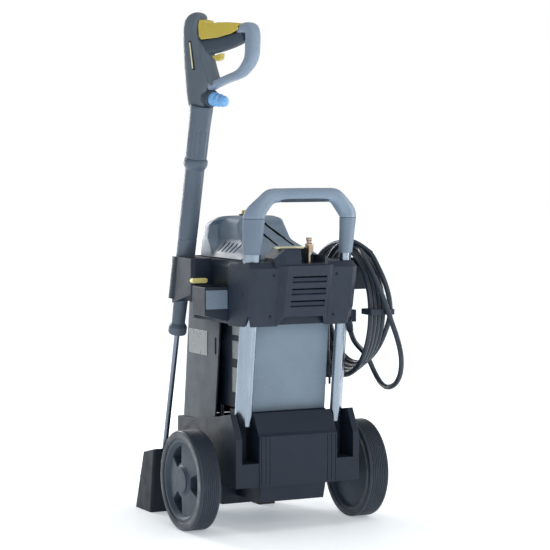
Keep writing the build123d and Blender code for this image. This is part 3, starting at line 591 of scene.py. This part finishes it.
def groove(obj, corners):
    """A cutter for a groove that runs from corner to corner over an object's surface."""
    ends = [Vector(corner) * MM for corner in corners]
    line = [start.lerp(end, k / 4) for start, end in zip(ends, ends[1:]) for k in range(4)] + [ends[-1]]
    spots = [obj.closest_point_on_mesh(point)[1:3] for point in line]
    vertices = []
    for k, (middle, normal) in enumerate(spots):
        before, after = spots[max(k - 1, 0)][0], spots[min(k + 1, len(spots) - 1)][0]
        side = (after - before).cross(normal).normalized() * GROOVE_HALF
        low, high = middle - normal * GROOVE_DEPTH, middle + normal * 0.006
        vertices += [low - side, low + side, high + side, high - side]
    return solid("groove", vertices, rings_to_faces(len(spots), 4))


def knob_well():
    """A short cylinder that cuts the round well of the switch."""
    bm = bmesh.new()
    bmesh.ops.create_cone(bm, cap_ends=True, cap_tris=True, segments=48, radius1=KNOB_WELL_R,
                          radius2=KNOB_WELL_R, depth=0.03, matrix=Matrix.Translation(KNOB_WELL))
    return new_object("well", bm)


def carve(obj, cutters):
    """Cut every cutter from an object, whose slots get walls painted in the black of shade, and remove the
    cutters.
    """
    joined = bmesh.new()
    for tool in cutters:
        joined.from_mesh(tool.data)
        bpy.data.objects.remove(tool)
    # the cutters' near-black passes to the slot walls as painted shade
    tools = paint(new_object("cutters", joined), "deep_black")
    boolean = obj.modifiers.new("slots", "BOOLEAN")
    boolean.operation = "DIFFERENCE"
    boolean.solver = "EXACT"
    boolean.use_self = False
    boolean.material_mode = "TRANSFER"
    boolean.object = tools
    settle(obj)
    bpy.data.objects.remove(tools)


def make_hood():
    """Moulded hood: stepped shoulders, louvres on their slopes and two slanting grooves."""
    rings = [hood_outline(row) for row in smooth_rows(HOOD_LEVELS, 5)]
    hood = loft("hood_shell", rings, "machine", "grey_plastic", replaces=["hood"])
    cutters = []
    for side in (1, -1):
        turn = Matrix.Rotation(side * math.radians(45), 4, "Y")
        for k in range(5):
            x, y, z = LOUVRE_PLACE
            cutters.append(louvre(Matrix.Translation((side * x, y + LOUVRE_PITCH * k, z)) @ turn))
    cutters += [groove(hood, corners) for corners in GROOVES]
    # the walls of the louvres, the grooves and the switch's well are painted in the black of shade
    carve(hood, [*cutters, knob_well()])
    hood.data.set_sharp_from_angle(angle=math.radians(35))


# ---- push handle -------------------------------------------------------------------------

# x, height, path's turn from vertical, half width, half depth, section's twist
HANDLE_ROWS = [
    (103.5, 552, 0, 18.2, 12.4, 135), (103.6, 555, 0, 18.8, 13, 135), (104, 590, 0, 20.4, 14.2, 135),
    (104, 612, 0, 21.6, 15.2, 135), (103.9, 620, 0, 21.9, 15.5, 135), (103.6, 626.5, 6, 21.7, 15.5, 136),
    (99.5, 634.5, 30, 19.2, 15.5, 142), (92.5, 643, 42, 17.2, 15.5, 150), (85.5, 651, 43, 15.8, 15.5, 158),
    (78.5, 658.5, 46, 15, 15.5, 165), (71, 664, 66, 14.8, 15.5, 172), (62, 666.4, 84, 14.2, 15.5, 180),
    (52, 666.8, 88, 13.8, 15.5, 180), (40, 667, 89, 13.7, 15.5, 180), (20, 667.2, 90, 13.7, 15.5, 180),
    (0, 667.3, 90, 13.7, 15.5, 180),
]
HANDLE_LEAN = 0.124
HANDLE_FOOT_Y = 155.2
HANDLE_FOOT_Z = 212.5
HANDLE_POWER = 2.3
BAR_Z = 667.3
BAR_HALF_Z = 13.7
BAR_HALF_Y = 15.5
SEAM_Z = 0.622
INSERT_HALF = 64
INSERT_REACH = math.radians(62)


def handle_centre(x, z):
    """Point on the leaning middle plane of the handle."""
    return Vector((x * MM, (HANDLE_FOOT_Y + (z - HANDLE_FOOT_Z) * HANDLE_LEAN) * MM, z * MM))


def handle_axes(turn, wide, deep, twist, side):
    """The section's two half-axis vectors where the path has turned from vertical by turn."""
    outward = Vector((side * math.cos(math.radians(turn)), 0, math.sin(math.radians(turn))))
    back = Vector((0, 1, 0))
    c, s = math.cos(math.radians(twist)), math.sin(math.radians(twist))
    return (outward * c + back * s) * wide * MM, (outward * s - back * c) * deep * MM


def make_handle():
    """Handle from one sleeve over the cross bar to the other; below the seam it is a darker sleeve."""
    rings = []
    for side in (1, -1):
        rows = smooth_rows(HANDLE_ROWS, 5)
        half = []
        for x, z, turn, wide, deep, twist in rows:
            across, depth = handle_axes(turn, wide, deep, twist, side)
            half.append(oval(handle_centre(side * x, z), across, depth, HANDLE_POWER, 40))
        rings += half if side == 1 else list(reversed(half[:-1]))
    handle = loft("handle_shell", rings, "push_handle_frame", "handle_grey", "grey_plastic",
                  replaces=["push_handle"])
    handle.data.set_sharp_from_angle(angle=math.radians(60))
    handle.data.materials.append(MATERIALS["sleeve_grey"])
    for face in handle.data.polygons:
        face.material_index = int(face.center.z < SEAM_Z)


def make_insert():
    """Soft insert below the cross bar: its outer skin follows the bar's section, its inner one is sunk in."""
    rings = []
    for k in range(33):
        along = k / 16 - 1
        reach = INSERT_REACH * math.sqrt(max(0.03, 1 - abs(along) ** 6))
        ring = []
        for swell, way in ((1.035, 1), (0.85, -1)):
            for j in range(9):
                angle = way * reach * (j / 4 - 1)
                c, s = (abs(part(angle)) ** (2 / HANDLE_POWER) for part in (math.cos, math.sin))
                offset = Vector((0, math.copysign(s, angle) * BAR_HALF_Y, -c * BAR_HALF_Z))
                ring.append(handle_centre(along * INSERT_HALF, BAR_Z) + offset * swell * MM)
        rings.append(ring)
    loft("handle_insert_soft", rings, "push_handle_frame", "grip_black", "black_plastic",
         replaces=["handle_insert"])


# ---- spray gun -----------------------------------------------------------------------------

GUN_ORIGIN = Vector((0.1378, 0.0390, 0.8442))
GUN_TURN = math.radians(18)
GUN_ALONG = Vector((-math.sin(GUN_TURN), math.cos(GUN_TURN), 0))
GUN_ACROSS = Vector((math.cos(GUN_TURN), math.sin(GUN_TURN), 0))
CAP_DROOP = math.radians(10)

# height, front, rear, half thickness
GUN_ROWS = [
    (-4, -23, 14, 14), (-2, -25, 16, 16), (4, -28, 19, 17.5), (21, -32, 24, 18), (40, -35, 30, 18),
    (60, -37, 27, 18), (80, -39, 20, 18), (104, -40, 10, 18), (128, -41, 4, 18), (150, -41, 0, 17.6),
    (164, -39, 3, 17), (173, -35, 6, 16), (180, -26, 3, 13.5), (184, -17, -4, 9), (185.5, -12, -9, 3),
]
# along, height, half width, half thickness
LOOP_ROWS = [
    (113, 139, 8, 9), (122, 146.5, 9, 11), (133, 149, 10.5, 12.5), (143, 145.5, 11.8, 13),
    (147, 135, 12.6, 13), (146.5, 115, 12.8, 13), (145.5, 99, 12.4, 13), (141, 86, 11.4, 12.5),
    (131, 74, 10, 12), (117, 62.5, 8.8, 11.5), (102, 57, 8, 11.2), (84, 52.5, 7.6, 11), (65, 47.5, 7.4, 11),
    (45, 42, 8, 11), (28, 37, 9, 11),
]
GRIP_ROWS = [
    (2, 114, 16.5, 11), (30, 116.5, 16, 11.4), (60, 120, 15, 11.6), (90, 125, 13.6, 11.4),
    (112, 130, 12.2, 11), (126, 134, 10.5, 10),
]
STRUT_ROWS = [
    (-6, 124, 12, 12), (6, 110, 16, 13), (13, 98, 17, 13.5), (19, 82, 15, 13), (27, 66, 13, 12.4),
    (36, 50, 11, 11.8), (43, 39, 9, 11),
]
# radius and place along the axis, in millimetres, of the rubber boss that carries the hose cap
BOSS = [
    (4, -10), (15.5, -10), (17.4, -8), (17.4, -1), (16.2, 0), (16.2, 2), (17.4, 3), (17.4, 8), (16.4, 9.6),
    (15, 10), (4, 10),
]


def in_gun(along, height, across=0.0):
    """Point of the gun, in millimetres from the top of the lance's nut."""
    return GUN_ORIGIN + (GUN_ALONG * along + GUN_ACROSS * across + UP * height) * MM


def limb(name, rows, material, replaces=()):
    """A rounded limb of the gun that follows a line in the gun's plane."""
    rings = []
    fine = smooth_rows(rows, 5)
    for k, (along, height, half, thick) in enumerate(fine):
        before, after = fine[max(k - 1, 0)], fine[min(k + 1, len(fine) - 1)]
        way = (GUN_ALONG * (after[0] - before[0]) + UP * (after[1] - before[1])).normalized()
        outward = way.cross(GUN_ACROSS)
        rings.append(oval(in_gun(along, height), outward * half * MM, GUN_ACROSS * thick * MM, 3.6, 36))
    return loft(name, rings, "spray_lance", material, "grey_plastic", replaces=replaces)


def make_gun():
    """Housing of the gun with its grip, guard loop, strut, inlet boss and a dark strip painted as the shade
    of its inlay's recess.
    """
    rings = []
    for height, front, rear, thick in smooth_rows(GUN_ROWS, 4):
        rings.append(oval(in_gun((front + rear) / 2, height), GUN_ALONG * (rear - front) / 2 * MM,
                          GUN_ACROSS * thick * MM, 4.0, 48))
    loft("gun_shell", rings, "spray_lance", "gun_grey", "grey_plastic", replaces=["gun_body"])
    boss_way = GUN_ALONG * math.cos(CAP_DROOP) - UP * math.sin(CAP_DROOP)
    boss = turned([(r * MM, z * MM) for r, z in BOSS], facing(in_gun(24, 14), boss_way), 48)
    piece("gun_boss", *boss, "spray_lance", "grip_black", "grey_plastic")
    # a thin near-black strip just off the gun's side: painted shade of the inlay's recess
    recess_shade = [oval(in_gun(-9.5 - 0.2 * (height - 99), height, 18.1), GUN_ALONG * 4.2 * MM,
                   GUN_ACROSS * 0.9 * MM, 4, 16) for height in (70, 71, 99, 127, 128)]
    loft("gun_recess_shade", recess_shade, "spray_lance", "deep_black", "grey_plastic")
    limb("gun_guard", LOOP_ROWS, "loop_grey", ["gun_loop"])
    limb("gun_grip", GRIP_ROWS, "grip_black")
    limb("gun_strut", STRUT_ROWS, "gun_grey")


# ---- small trims ------------------------------------------------------------------------

STRIP_Y = 0.204
STRIP_X = (0.057, -0.006)
SCREW_PLACE = (0.1212, 0.19, 0.473)
# radius and height of a screw head with its socket
SCREW_HEAD = [(0.0008, 0), (0.0014, -0.0012), (0.0026, -0.0012), (0.003, 0.0003), (0.0038, 0.0003),
              (0.004, -0.002)]
SLEEVE_X = 103.9
SLEEVE_HALVES = (21.95, 15.55)
SLEEVE_TWIST = 135
# height and swell of the seam at the top of a sleeve
SEAM = [(620.9, 0.985), (621.1, 1.006), (622.3, 1.006), (622.5, 0.985)]


def make_strip():
    """Pale strip with domed ends above the outlet's hump."""
    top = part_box("rear_cover")[1][2] + 0.0012
    start, end = (Vector((x, STRIP_Y, top)) for x in STRIP_X)
    rings = [oval(start.lerp(end, along), Vector((0, 0.0035, 0)) * scale, UP * 0.0022 * scale, 3.4, 20)
             for along, scale in ((0, 0.7), (0.02, 0.94), (0.05, 1), (0.95, 1), (0.98, 0.94), (1, 0.7))]
    loft("hump_strip", rings, "machine", "inlay", "yellow_plastic")


def make_trims(name, side):
    """The screw at the head's corner, painted in the black of shade as its dark hole, and the seam at the top
    of the sleeve, on one side.
    """
    x, y, z = SCREW_PLACE
    screw = turned(SCREW_HEAD, facing((side * x, y, z), Vector((side * 0.98, 0.2, 0)).normalized()), 24)
    # the screw is painted near-black, the shade of its hole
    piece("corner_screw_" + name, *screw, "machine", "deep_black", "black_plastic")
    across, deep = handle_axes(0, *SLEEVE_HALVES, SLEEVE_TWIST, side)
    rings = [oval(handle_centre(side * SLEEVE_X, height), across * swell, deep * swell, HANDLE_POWER, 40)
             for height, swell in SEAM]
    loft("sleeve_seam_" + name, rings, "push_handle_frame", "grip_black", "grey_plastic")


# ---- tyres -----------------------------------------------------------------------------

TYRE_HEIGHT = 0.016
TYRE_SHOULDER = 0.0035
TYRE_RIBS = 9
TREAD_DEPTH = 0.0011


def make_tyre(side):
    """Tyre with rounded shoulders and fine ribs round its tread."""
    low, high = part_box("wheel_tyre_" + side)
    centre = Vector([(a + b) / 2 for a, b in zip(low, high)])
    half = (high[0] - low[0]) / 2
    radius = (high[2] - low[2]) / 2
    rim = radius - TYRE_HEIGHT
    flank = [(rim, -half + 0.001), (rim + 0.0015, -half)]
    for k in range(7):
        angle = math.radians(90 * k / 6)
        flank.append((radius + TYRE_SHOULDER * (math.sin(angle) - 1),
                      -half + TYRE_SHOULDER * (1 - math.cos(angle))))
    width = 2 * (half - TYRE_SHOULDER)
    tread = []
    for k in range(1, TYRE_RIBS):
        middle = width * (k / TYRE_RIBS - 0.5)
        for offset, depth in ((-0.0011, 0), (-0.0007, TREAD_DEPTH), (0.0007, TREAD_DEPTH), (0.0011, 0)):
            tread.append((radius - depth, middle + offset))
    profile = flank + tread + [(r, -z) for r, z in reversed(flank)]
    place = Matrix.Translation(centre) @ Matrix.Rotation(math.radians(90), 4, "Y")
    tyre = piece("tyre_" + side, *turned(profile, place, 144), side + "_wheel", "tyre_rubber",
                 replaces=["wheel_tyre_" + side])
    tyre.data.set_sharp_from_angle(angle=math.radians(38))


# ---- light and floor ---------------------------------------------------------------------

FLOOR_REACH = 14


def area_light(name, place, target, size, watts):
    """A rectangular lamp that faces a point."""
    data = bpy.data.lights.new(name, "AREA")
    data.shape = "RECTANGLE"
    data.size, data.size_y = size
    data.energy = watts
    light = bpy.data.objects.new(name, data)
    light.location = place
    light.rotation_euler = (Vector(target) - Vector(place)).to_track_quat("-Z", "Y").to_euler()
    bpy.context.collection.objects.link(light)


def make_world():
    """White to the camera; its light is stronger from above and from the side without the lance."""
    world = bpy.data.worlds.new("studio")
    bpy.context.scene.world = world
    world.use_nodes = True
    tree = world.node_tree
    way = tree.nodes.new("ShaderNodeTexCoord")
    slope = tree.nodes.new("ShaderNodeVectorMath")
    slope.operation = "DOT_PRODUCT"
    slope.inputs[1].default_value = (-0.1, 0.0, 0.12)
    tree.links.new(way.outputs["Generated"], slope.inputs[0])
    level = tree.nodes.new("ShaderNodeMath")
    level.inputs[1].default_value = 0.33
    tree.links.new(slope.outputs["Value"], level.inputs[0])
    seen = tree.nodes.new("ShaderNodeLightPath")
    choose = tree.nodes.new("ShaderNodeMix")
    tree.links.new(seen.outputs["Is Camera Ray"], choose.inputs[0])
    tree.links.new(level.outputs[0], choose.inputs[2])
    choose.inputs[3].default_value = 1.0
    background = tree.nodes["Background"]
    background.inputs["Color"].default_value = (1, 1, 1, 1)
    tree.links.new(choose.outputs[0], background.inputs["Strength"])


def make_floor():
    """Pale floor with a painted bluish glow, weak near the machine where it lifts the floor's shade, and
    growing away from it into the white of the background.
    """
    n = Nodes("studio_floor")
    n.link(n.mix(n.span(n.noise(3, 4), 0, 1), (0.93, 0.94, 0.95), (0.97, 0.975, 0.98)),
           n.shader.inputs["Base Color"])
    n.link(n.span(n.noise(40, 4), 0.42, 0.5), n.shader.inputs["Roughness"])
    n.shader.inputs["Specular IOR Level"].default_value = 0.25
    # painted light: the floor glows bluish, a little near the machine and up to white far from it
    distance = n.add("ShaderNodeVectorMath", operation="LENGTH")
    n.link(n.place, distance.inputs[0])
    n.shader.inputs["Emission Color"].default_value = (0.86, 0.94, 1, 1)
    n.link(n.span(distance.outputs["Value"], 0.36, 0.8, 0.2, 1.1), n.shader.inputs["Emission Strength"])
    corners = [(x * FLOOR_REACH, y * FLOOR_REACH, 0) for x, y in ((-1, -1), (1, -1), (1, 1), (-1, 1))]
    floor = solid("studio_floor", corners, [(0, 1, 2, 3)])
    floor.data.materials.append(n.material)


def make_studio():
    """White studio with four lamps."""
    bpy.context.scene.view_settings.view_transform = "Standard"
    make_world()
    area_light("key", (0.2, 3.4, 1.9), (0, 0, 0.45), (1.2, 1.6), 26)
    area_light("top", (0.1, 0.3, 2.7), (0, 0, 0.3), (2.0, 2.0), 11)
    area_light("rim", (0.7, -2.8, 1.3), (0, 0, 0.5), (0.8, 1.6), 50)
    area_light("edge", (-2.3, 0.45, 0.9), (0, 0, 0.5), (0.35, 1.8), 18)
    make_floor()


finish_nodes()
make_hood()
make_handle()
make_insert()
make_gun()
make_strip()
make_trims("left", 1)
make_trims("right", -1)
make_tyre("left")
make_tyre("right")
make_studio()
